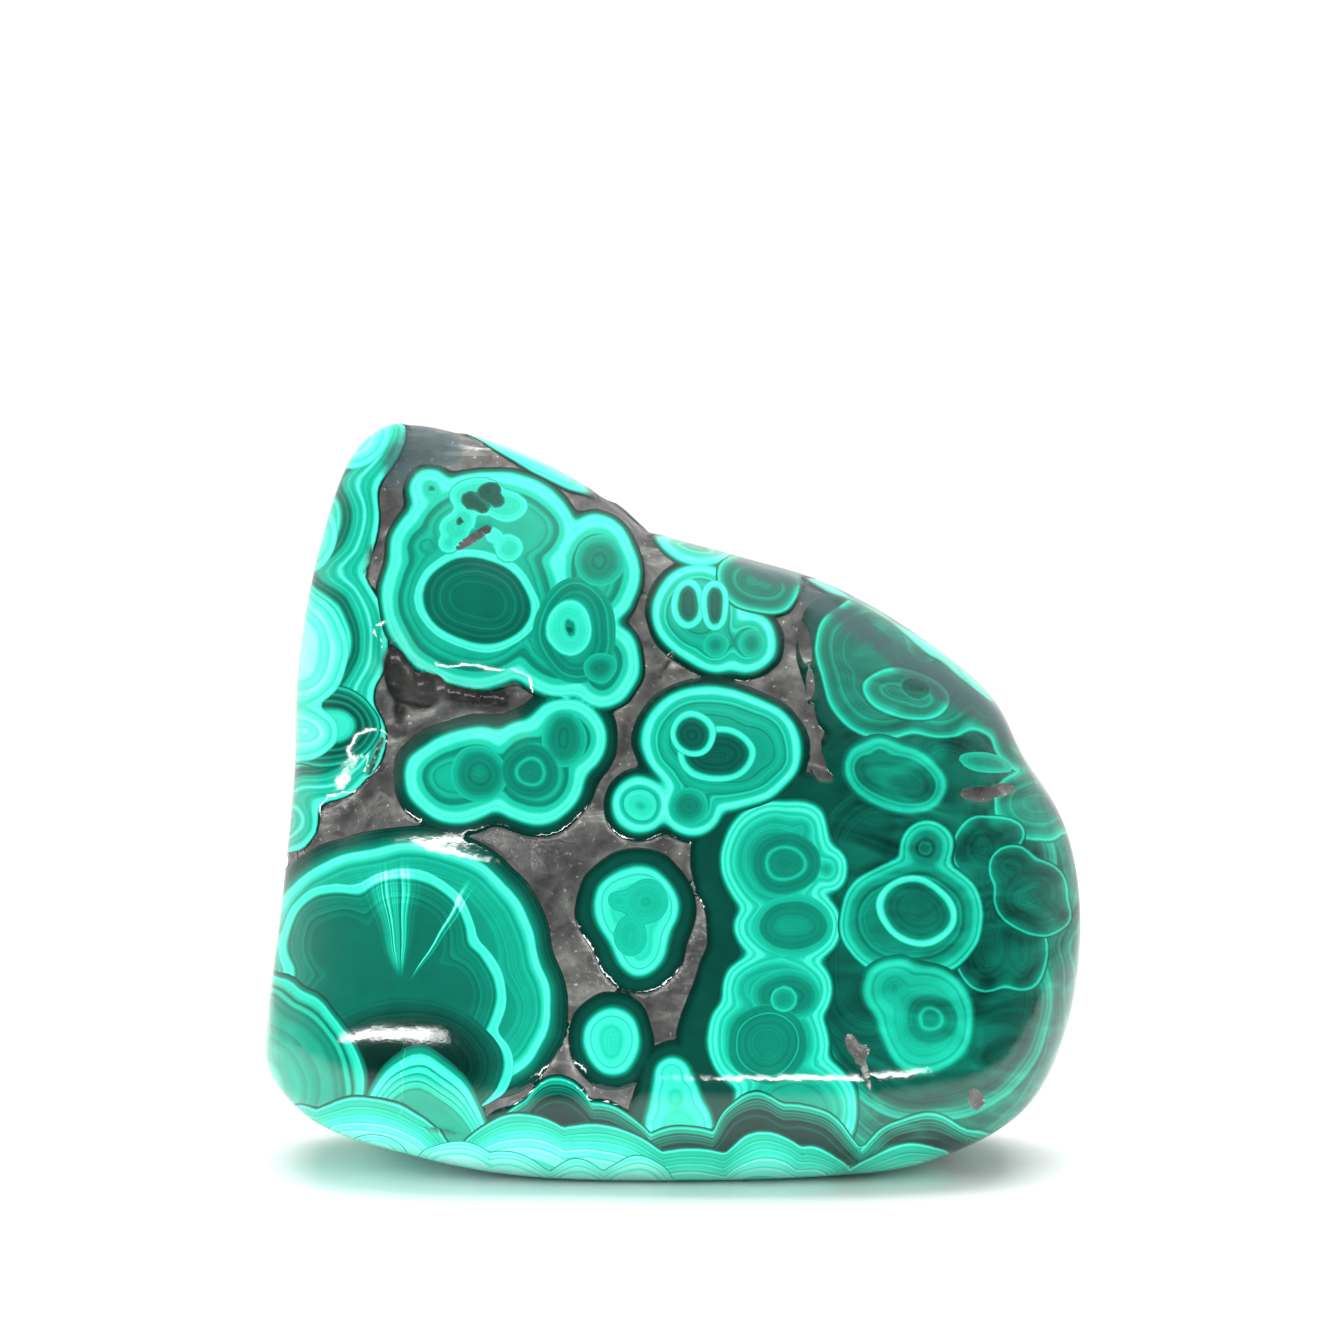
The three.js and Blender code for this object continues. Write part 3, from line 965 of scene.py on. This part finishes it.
@dataclass(frozen=True)
class FibreSheenFan:
    """Pale streaks of painted sheen along fibres that fan out through the dark of the large growth.

    Attributes:
        middle: The fan's direction from its foot, in degrees right of straight up.
        spread: Angles from that at which it is gone and full, in degrees.
        lone: The direction of a lone fibre, in degrees.
        lone_spread: Angles from that at which it is gone and full, in degrees.
        start: Distances from the foot at which it is still missing and full, in millimetres.
        end: Distances from the foot at which it is gone and still full, in millimetres.
        often: How many fibres there are to a degree.
        detail: How many finer layers the fibres have.
        edge: Noise at which a fibre begins and is full.
        lift: How much paler the painted sheen makes a fibre.
        ground: How much paler the painted sheen makes the stone between them.
    """

    middle: float = -5.0
    spread: tuple[float, float] = (16.0, 5.0)
    lone: float = 32.0
    lone_spread: tuple[float, float] = (4.0, 1.0)
    start: tuple[float, float] = (1.5, 4.0)
    end: tuple[float, float] = (14.0, 10.0)
    often: float = 0.5
    detail: float = 3.0
    edge: tuple[float, float] = (0.35, 0.75)
    lift: float = 0.6
    ground: float = 0.06

    def paint(self, bench: Bench) -> Wire:
        """Give the painted sheen that the fibres add to the tone.

        Args:
            bench: The bench of the material.

        Returns:
            What to add.
        """
        angle = bench.attribute("fan_angle")
        reach = bench.attribute("fan_reach")
        fan = bench.between(*self.spread, (angle - self.middle).most(self.middle - angle))
        lone = bench.between(*self.lone_spread, (angle - self.lone).most(self.lone - angle))
        ring = bench.between(*self.start, reach) * bench.between(*self.end, reach)
        threads = bench.between(*self.edge, bench.threads(angle, self.often, self.detail))
        return (threads * self.lift + self.ground) * ring * fan.most(lone)


@dataclass(frozen=True)
class Mist:
    """Cloudy veils on the right side, strongest on its dark tones.

    Attributes:
        veils: Their noise.
        turn: How far they lean, in radians.
        scale: How they are drawn out.
        limit: The tone at which they would vanish.
        edge: Places across the stone where they begin and are full, in millimetres.
    """

    veils: Cloud = Cloud(9.0, 5.0, 0.65, 1.4, 0.46)
    turn: float = 0.6
    scale: tuple[float, float, float] = (1.0, 1.0, 2.2)
    limit: float = 1.15
    edge: tuple[float, float] = (12.0, 22.0)

    def paint(self, bench: Bench, place: Wire, tone: Wire) -> Wire:
        """Give what the veils add to the tone.

        Args:
            bench: The bench of the material.
            place: The place on the stone, in millimetres.
            tone: The tone so far.

        Returns:
            What to add.
        """
        veils = self.veils.at(bench.turned(place, self.turn, self.scale))
        return veils * (self.limit - tone) * bench.between(*self.edge, bench.side(place, "X"))


@dataclass(frozen=True)
class MalachiteFinish:
    """Polished malachite, with duller grey matrix between its growths.

    Attributes:
        tones: The greens from darkest to palest, by place from 0 to 1.
        matrix: The finish of the matrix.
        fibres: The painted sheen on the fibres of the large growth.
        mist: The veils of the right side.
        ripple: How unevenly the bands run, in millimetres.
        crust_ripple: How many times more unevenly the crusts' edges run.
        crust_edge: Half the width of a crust's edge, in millimetres.
        crust_depth: Depth at which a crust has its inner tone, in millimetres.
        crust_tones: Tone of a crust at its edge and inside.
        laid_depth: Depth over which a growth comes to cover what lies under it.
        seam_edge: Half the width of a seam's edge, in millimetres.
        line_often: How many fine lines there are to a millimetre of depth.
        line_detail: How many finer layers the lines have.
        line_strength: How strongly the lines change the tone.
        line_fade: Depths at which the lines are gone and full, in millimetres.
        flecks: The flecks of lighter and darker tone.
        pit_edge: Depths in a pit at which it begins and is full, in millimetres.
        smoke: The blue grey of the hazes.
        smoke_drift: How unevenly the hazes' edges run.
        smoke_edge: Depths in a haze at which it begins and is full, in millimetres.
        smoke_share: How fully a haze covers the stone.
        polish: Roughness of the polished green.
        matrix_roughness: Roughness of the matrix.
        ior: How strongly the stone bends light, its index of refraction.
        waves: The waves of the polish, as a share of the bump's depth.
        scratches: Its fine scratches, as a share of the bump's depth.
        grain_level: The height of the grain that lies level with the polish.
        bump_strength: How much of the bump shows.
        bump_depth: Depth of the bump, in metres.
    """

    tones: tuple[tuple[float, str], ...] = (
        (0.0, "021a16"), (0.1, "05362d"), (0.2, "0a5245"), (0.3, "0d6c5a"), (0.4, "0e8870"),
        (0.5, "12a488"), (0.6, "1abb9c"), (0.7, "28cfb0"), (0.8, "3ee2c6"), (0.9, "60efda"),
        (1.0, "a8f3e8"),
    )
    matrix: MatrixFinish = MatrixFinish()
    fibres: FibreSheenFan = FibreSheenFan()
    mist: Mist = Mist()
    ripple: Cloud = Cloud(1.6, 1.0, 0.1)
    crust_ripple: float = 1.5
    crust_edge: float = 0.06
    crust_depth: float = 0.9
    crust_tones: tuple[float, float] = (0.05, 0.15)
    laid_depth: float = 0.08
    seam_edge: float = 0.05
    line_often: float = 3.0
    line_detail: float = 2.0
    line_strength: float = 0.2
    line_fade: tuple[float, float] = (3.6, 2.2)
    flecks: Cloud = Cloud(2.4, 3.0, 0.08)
    pit_edge: tuple[float, float] = (-0.1, 0.5)
    smoke: str = "3a5154"
    smoke_drift: Cloud = Cloud(3.0, 3.0, 1.6, 1.0)
    smoke_edge: tuple[float, float] = (-0.5, 0.7)
    smoke_share: float = 0.8
    polish: float = 0.08
    matrix_roughness: float = 0.3
    ior: float = 1.62
    waves: Cloud = Cloud(3.0, 2.0, 0.32)
    scratches: Cloud = Cloud(0.35, 2.0, 0.05)
    grain_level: float = 1.2
    bump_strength: float = 0.35
    bump_depth: float = 0.0003

    def build(self) -> bpy.types.Material:
        """Make the material.

        Returns:
            The finished material.
        """
        material, bench, shader = new_material(MATERIAL_SLOT)
        spot = bench.node("ShaderNodeTexCoord", {}, {}, "Object")
        values = {0: spot, "Scale": 1.0 / MM}
        place = bench.node("ShaderNodeVectorMath", {"operation": "SCALE"}, values)
        tone, cover = self._tone(bench, place)
        pit = bench.between(*self.pit_edge, bench.attribute("pit"))
        grey, grain = self.matrix.paint(bench, place, pit)
        cover = cover * (1 - pit)
        colour = bench.mix_colour(cover, grey, bench.ramp(painted(self.tones), tone))
        haze = bench.between(*self.smoke_edge, bench.attribute("haze") + self.smoke_drift.at(place))
        colour = bench.mix_colour(haze * self.smoke_share, colour, linear(self.smoke))
        stony = 1 - cover
        roughness = bench.mix(stony, self.polish, self.matrix_roughness)
        height = stony * (grain - self.grain_level) + self.waves.at(place) + self.scratches.at(place)
        values = {"Height": height, "Strength": self.bump_strength, "Distance": self.bump_depth}
        bump = bench.node("ShaderNodeBump", {}, values, "Normal")
        bench.tree.links.new(colour.socket, shader.inputs["Base Color"])
        bench.tree.links.new(roughness.socket, shader.inputs["Roughness"])
        bench.tree.links.new(bump.socket, shader.inputs["Normal"])
        shader.inputs["IOR"].default_value = self.ior
        return material

    def _tone(self, bench: Bench, place: Wire) -> tuple[Wire, Wire]:
        """Paint the growths over each other.

        Args:
            bench: The bench of the material.
            place: The place on the stone, in millimetres.

        Returns:
            The tone, and how far the green covers the matrix.
        """
        ripple = self.ripple.at(place)
        crust = bench.attribute("crust") + ripple * self.crust_ripple
        tone = bench.mix(bench.between(0.0, self.crust_depth, crust), *self.crust_tones)
        cover = bench.between(-self.crust_edge, self.crust_edge, crust)
        lined: Wire | float = 0.0
        for growth in GROWTHS:
            depth = bench.attribute(growth.name) + ripple
            stops = growth.bands.value
            low = growth.start
            high = stops[-1][0]
            share = bench.between(low, high, depth, smooth=False)
            grey = [((at - low) / (high - low), (value, value, value, 1.0)) for at, value in stops]
            laid = bench.between(low, low + self.laid_depth, depth)
            tone = bench.mix(laid, tone, bench.ramp(grey, share))
            lined = bench.mix(laid, lined, depth)
            cover = cover.most(laid)
        calm = bench.between(*self.line_fade, lined)
        lines = bench.threads(lined, self.line_often, self.line_detail)
        tone = tone + (lines - NOISE_MIDDLE) * self.line_strength * calm
        tone = tone + self.flecks.at(place)
        # The fibres lift the tone with painted sheen; the veils add cloudy colour.
        tone = tone + self.fibres.paint(bench) + self.mist.paint(bench, place, tone)
        seam = bench.between(-self.seam_edge, self.seam_edge, bench.attribute("seam") + ripple)
        return tone, cover * (1 - seam)


@dataclass(frozen=True)
class FloorFinish:
    """Plain, nearly white paper that fades into the surround.

    Attributes:
        shade: The darker tone of its fibres.
        light: The lighter tone of its fibres.
        fibres: How the fibres lie, in metres.
        roughness: Its roughness.
        shine: How strongly it reflects.
        fade: Distances from the stone's middle where it begins to fade and is gone, in metres.
        front_fade: The same distances toward the viewer.
        depth_fade: Depth below its top at which it is gone, in metres.
    """

    shade: str = "f1f1f1"
    light: str = "f8f8f8"
    fibres: Cloud = Cloud(0.004, 3.0)
    roughness: float = 0.9
    shine: float = 0.1
    fade: tuple[float, float] = (0.09, 0.2)
    front_fade: tuple[float, float] = (0.026, 0.04)
    depth_fade: float = 0.0005

    def build(self) -> bpy.types.Material:
        """Make the material.

        Returns:
            The finished material.
        """
        material, bench, shader = new_material("studio_paper")
        spot = bench.node("ShaderNodeTexCoord", {}, {}, "Object")
        colour = bench.mix_colour(self.fibres.noise(spot), linear(self.shade), linear(self.light))
        away = bench.node("ShaderNodeVectorMath", {"operation": "LENGTH"}, {0: spot}, "Value")
        near = bench.between(-self.front_fade[1], -self.front_fade[0], bench.side(spot, "Y"))
        top = bench.between(-self.depth_fade, 0.0, bench.side(spot, "Z"))
        solid = bench.between(self.fade[1], self.fade[0], away) * near * top
        bench.tree.links.new(colour.socket, shader.inputs["Base Color"])
        bench.tree.links.new(solid.socket, shader.inputs["Alpha"])
        shader.inputs["Roughness"].default_value = self.roughness
        shader.inputs["Specular IOR Level"].default_value = self.shine
        return material


# The stone


@dataclass(frozen=True)
class SkinRule:
    """A Geometry Nodes rule that refines the stone and sinks its matrix.

    Attributes:
        name: The name of its node group.
    """

    name: str = "stone_skin"

    def build(self, material: bpy.types.Material) -> Any:
        """Make the node group.

        Args:
            material: The material that it sets.

        Returns:
            The node group.
        """
        tree = bpy.data.node_groups.new(self.name, "GeometryNodeTree")
        face = tree.interface
        face.new_socket("Geometry", in_out="INPUT", socket_type="NodeSocketGeometry")
        face.new_socket("Levels", in_out="INPUT", socket_type="NodeSocketInt")
        face.new_socket("Sink", in_out="INPUT", socket_type="NodeSocketFloat")
        face.new_socket("Geometry", in_out="OUTPUT", socket_type="NodeSocketGeometry")
        source = tree.nodes.new("NodeGroupInput")
        result = tree.nodes.new("NodeGroupOutput")
        refine = tree.nodes.new("GeometryNodeSubdivisionSurface")
        carried = tree.nodes.new("GeometryNodeInputNamedAttribute")
        carried.data_type = "FLOAT"
        carried.inputs["Name"].default_value = "sink"
        depth = tree.nodes.new("ShaderNodeMath")
        depth.operation = "MULTIPLY"
        normal = tree.nodes.new("GeometryNodeInputNormal")
        offset = tree.nodes.new("ShaderNodeVectorMath")
        offset.operation = "SCALE"
        move = tree.nodes.new("GeometryNodeSetPosition")
        realize = tree.nodes.new("GeometryNodeRealizeInstances")
        dress = tree.nodes.new("GeometryNodeSetMaterial")
        dress.inputs["Material"].default_value = material
        link = tree.links.new
        link(source.outputs["Geometry"], refine.inputs["Mesh"])
        link(source.outputs["Levels"], refine.inputs["Level"])
        link(refine.outputs["Mesh"], move.inputs["Geometry"])
        link(carried.outputs["Attribute"], depth.inputs[0])
        link(source.outputs["Sink"], depth.inputs[1])
        link(normal.outputs["Normal"], offset.inputs[0])
        link(depth.outputs["Value"], offset.inputs["Scale"])
        link(offset.outputs["Vector"], move.inputs["Offset"])
        link(move.outputs["Geometry"], realize.inputs["Geometry"])
        link(realize.outputs["Geometry"], dress.inputs["Geometry"])
        link(dress.outputs["Geometry"], result.inputs["Geometry"])
        return tree

    @staticmethod
    def apply(mesh: bpy.types.Mesh, tree: Any, levels: int, sink: float) -> bpy.types.Mesh:
        """Run the rule on a mesh.

        Args:
            mesh: The mesh to start from.
            tree: The node group.
            levels: Levels of subdivision.
            sink: Depth for a sink of 1, in metres.

        Returns:
            The resulting mesh.
        """
        holder = bpy.data.objects.new("stone_holder", mesh)
        bpy.context.scene.collection.objects.link(holder)
        modifier = holder.modifiers.new("skin", "NODES")
        modifier.node_group = tree
        wanted = {"Levels": levels, "Sink": -sink}
        for item in tree.interface.items_tree:
            if item.item_type == "SOCKET" and item.in_out == "INPUT" and item.name in wanted:
                modifier[item.identifier] = wanted[item.name]
        depsgraph = bpy.context.evaluated_depsgraph_get()
        made = bpy.data.meshes.new_from_object(holder.evaluated_get(depsgraph))
        holder.modifiers.clear()
        bpy.data.objects.remove(holder)
        return made


@dataclass(frozen=True)
class MalachiteStone:
    """The whole stone, as one piece.

    Attributes:
        pattern: Its growths.
        finish: Its finish.
        levels: Levels of subdivision over the CAD body.
        sink: How far the matrix lies below the polished green, in metres.
        sink_edge: Half the width of the step between them, in millimetres.
        pit_sink: How many times deeper the pits are.
        pit_edge: Depths in a pit at which it begins and is full, in millimetres.
        base_clear: Height of the flat base that is left as it is, in metres.
        base_rise: How many times that height the full depth is reached at.
        weld: Distance within which the corners of the CAD body are joined, in metres.
    """

    pattern: StonePattern
    finish: MalachiteFinish = MalachiteFinish()
    levels: int = 2
    sink: float = 0.0002
    sink_edge: float = 0.12
    pit_sink: float = 5.0
    pit_edge: tuple[float, float] = (-0.15, 0.7)
    base_clear: float = 0.0012
    base_rise: float = 3.0
    weld: float = 2e-6

    def build(self, source: bpy.types.Object) -> bpy.types.Object:
        """Build the stone.

        Args:
            source: The CAD body.

        Returns:
            The finished piece.
        """
        material = self.finish.build()
        rule = SkinRule()
        tree = rule.build(material)
        body = self._merged(source)
        fine = rule.apply(body, tree, self.levels, 0.0)
        self._write_depths(fine)
        skin = rule.apply(fine, tree, 0, self.sink)
        piece = bpy.data.objects.new("malachite_body", skin)
        bpy.context.scene.collection.objects.link(piece)
        skin.name = "malachite_body"
        skin.shade_smooth()
        LOG.info("stone: %d faces", len(skin.polygons))
        return piece

    def _merged(self, source: bpy.types.Object) -> bpy.types.Mesh:
        """Copy the CAD body with its loose triangles joined.

        Args:
            source: The CAD body.

        Returns:
            A closed mesh.
        """
        sheet = bmesh.new()
        sheet.from_mesh(source.data)
        bmesh.ops.remove_doubles(sheet, verts=sheet.verts, dist=self.weld)
        mesh = bpy.data.meshes.new("stone_body")
        sheet.to_mesh(mesh)
        sheet.free()
        return mesh

    def _within(self, start: float, depth: np.ndarray) -> np.ndarray:
        """Tell how far each depth lies within a start, from 0 to 1."""
        return smooth_step(start - self.sink_edge, start + self.sink_edge, depth)

    def _write_depths(self, mesh: bpy.types.Mesh) -> None:
        """Write the growths' depths and the matrix's sink onto a mesh.

        Args:
            mesh: The refined mesh.
        """
        flat = np.empty(3 * len(mesh.vertices))
        mesh.vertices.foreach_get("co", flat)
        points = flat.reshape(-1, 3)
        depths = self.pattern.measure(points)
        stony = 1.0 - self._within(0.0, depths["crust"])
        for growth in GROWTHS:
            stony = np.minimum(stony, 1.0 - self._within(growth.start, depths[growth.name]))
        stony = np.maximum(stony, self._within(0.0, depths["seam"]))
        sink = stony + self.pit_sink * smooth_step(*self.pit_edge, depths["pit"])
        full = self.base_rise * self.base_clear
        depths["sink"] = sink * smooth_step(self.base_clear, full, points[:, 2])
        for name, values in depths.items():
            layer = mesh.attributes.new(name, "FLOAT", "POINT")
            layer.data.foreach_set("value", values.astype(np.float32))


# The studio


@dataclass(frozen=True)
class Softbox:
    """A flat, rectangular soft light that faces the stone.

    Attributes:
        name: Its name.
        place: Its place, in metres.
        width: Its width, in metres.
        height: Its height, in metres.
        power: Its power, in watts.
        mirrored: Whether the polish shows its reflection.
    """

    name: str
    place: tuple[float, float, float]
    width: float
    height: float
    power: float
    mirrored: bool = False

    def build(self, target: Vector) -> bpy.types.Object:
        """Make the light.

        Args:
            target: The point that it faces, in metres.

        Returns:
            The light object.
        """
        data = bpy.data.lights.new(self.name, "AREA")
        data.shape = "RECTANGLE"
        data.size = self.width
        data.size_y = self.height
        data.energy = self.power
        lamp = bpy.data.objects.new(self.name, data)
        bpy.context.scene.collection.objects.link(lamp)
        lamp.visible_glossy = self.mirrored
        lamp.visible_camera = False
        lamp.location = self.place
        aim = target - Vector(self.place)
        lamp.rotation_euler = aim.to_track_quat("-Z", "Y").to_euler()
        return lamp


@dataclass(frozen=True)
class Studio:
    """A white table top, soft lights and a pale surround.

    Attributes:
        floor: The finish of the table top.
        floor_radius: Radius of the table top, in metres.
        floor_thick: Its thickness, in metres.
        floor_round: How far its rounded edge reaches in and down, in metres.
        floor_bevel: How far the middle of the rounded edge lies in and down, in metres.
        floor_front: How far it reaches in front of the stone's middle, in metres.
        floor_steps: How many straight sides its edge has.
        target: The point that the lights face, in metres.
        boxes: The soft lights.
        dim: Brightness of the surround on the viewer's side.
        bright: Brightness of the surround behind and above the stone.
        back_edge: Directions from front to back between which it turns bright.
        high_edge: Directions from level to overhead between which it turns bright.
        seen: Brightness of the surround where it is seen directly.
    """

    floor: FloorFinish = FloorFinish()
    floor_radius: float = 0.45
    floor_thick: float = 0.012
    floor_round: float = 0.004
    floor_bevel: float = 0.001
    floor_front: float = 0.05
    floor_steps: int = 128
    target: tuple[float, float, float] = (0.0, 0.0, 0.03)
    boxes: tuple[Softbox, ...] = (
        Softbox("top_softbox", (0.0, 0.15, 0.8), 0.9, 0.7, 10.0),
        Softbox("left_softbox", (-0.5, -0.5, 0.3), 0.45, 0.45, 2.3),
        Softbox("right_softbox", (0.5, -0.5, 0.3), 0.45, 0.45, 2.0),
        Softbox("left_strip", (-0.14, -0.22, -0.02), 0.15, 0.006, 0.12, True),
        Softbox("left_glow", (-0.14, -0.225, -0.02), 0.19, 0.02, 0.14, True),
        Softbox("right_strip", (0.07, -0.25, -0.05), 0.13, 0.007, 0.12, True),
        Softbox("right_glow", (0.075, -0.255, -0.045), 0.16, 0.02, 0.12, True),
    )
    dim: float = 0.02
    bright: float = 0.8
    back_edge: tuple[float, float] = (-0.75, 0.25)
    high_edge: tuple[float, float] = (0.45, 0.9)
    seen: float = 1.02

    def build(self) -> list[bpy.types.Object]:
        """Make the table top, the lights and the surround.

        Returns:
            The objects made.
        """
        made = [self._table()]
        for box in self.boxes:
            made.append(box.build(Vector(self.target)))
        self._surround()
        scene = bpy.context.scene
        scene.view_settings.view_transform = "Standard"
        scene.view_settings.look = "None"
        return made

    def _table(self) -> bpy.types.Object:
        """Make the round table top, with a softly rounded edge.

        Returns:
            The table top.
        """
        edge = self.floor_radius
        profile = (
            (0.0, 0.0), (edge - self.floor_round, 0.0), (edge - self.floor_bevel, -self.floor_bevel),
            (edge, -self.floor_round), (edge, -self.floor_thick), (0.0, -self.floor_thick),
        )
        sheet = bmesh.new()
        rings = [self._ring(sheet, radius, height) for radius, height in profile]
        for inner, outer in zip(rings, rings[1:]):
            for step in range(self.floor_steps):
                after = (step + 1) % self.floor_steps
                corners = [outer[step % len(outer)], outer[after % len(outer)],
                           inner[after % len(inner)], inner[step % len(inner)]]
                sheet.faces.new(list(dict.fromkeys(corners)))
        bmesh.ops.recalc_face_normals(sheet, faces=sheet.faces)
        shift = edge - self.floor_front
        bmesh.ops.translate(sheet, verts=sheet.verts, vec=(0.0, shift, 0.0))
        mesh = bpy.data.meshes.new("table_top")
        sheet.to_mesh(mesh)
        sheet.free()
        mesh.materials.append(self.floor.build())
        table = bpy.data.objects.new("table_top", mesh)
        bpy.context.scene.collection.objects.link(table)
        return table

    def _ring(self, sheet: Any, radius: float, height: float) -> list[Any]:
        """Add a ring of corners to a sheet, or one corner where it has no radius.

        Args:
            sheet: The sheet.
            radius: The ring's radius, in metres.
            height: Its height, in metres.

        Returns:
            The corners.
        """
        ring = []
        for step in range(self.floor_steps if radius else 1):
            angle = 2.0 * math.pi * step / self.floor_steps
            ring.append(sheet.verts.new((radius * math.cos(angle), radius * math.sin(angle), height)))
        return ring

    def _surround(self) -> None:
        """Make the world: white to the eye, dim on the viewer's side for reflections."""
        world = bpy.data.worlds.new("studio_surround")
        world.use_nodes = True
        tree = world.node_tree
        tree.nodes.clear()
        bench = Bench(tree)
        way = bench.node("ShaderNodeTexCoord", {}, {}, "Generated")
        back = bench.between(*self.back_edge, bench.side(way, "Y"))
        high = bench.between(*self.high_edge, bench.side(way, "Z"))
        level = bench.mix(back.most(high), self.dim, self.bright)
        direct = bench.node("ShaderNodeLightPath", {}, {}, "Is Camera Ray")
        level = bench.mix(direct, level, self.seen)
        white = (1.0, 1.0, 1.0, 1.0)
        glow = bench.node("ShaderNodeBackground", {}, {"Color": white, "Strength": level})
        output = tree.nodes.new("ShaderNodeOutputWorld")
        tree.links.new(glow.socket, output.inputs["Surface"])
        bpy.context.scene.world = world


def main() -> None:
    """Build the stone and its studio."""
    logging.basicConfig(level=logging.INFO, format="%(name)s: %(message)s")
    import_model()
    sight = Sight()
    sight.make_camera()
    stone = MalachiteStone(StonePattern(sight)).build(bpy.data.objects[CAD_NODE])
    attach(stone, "root")
    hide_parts(CAD_NODE)
    for item in Studio().build():
        LOG.info("studio: %s", item.name)


if __name__ == "__main__":
    main()
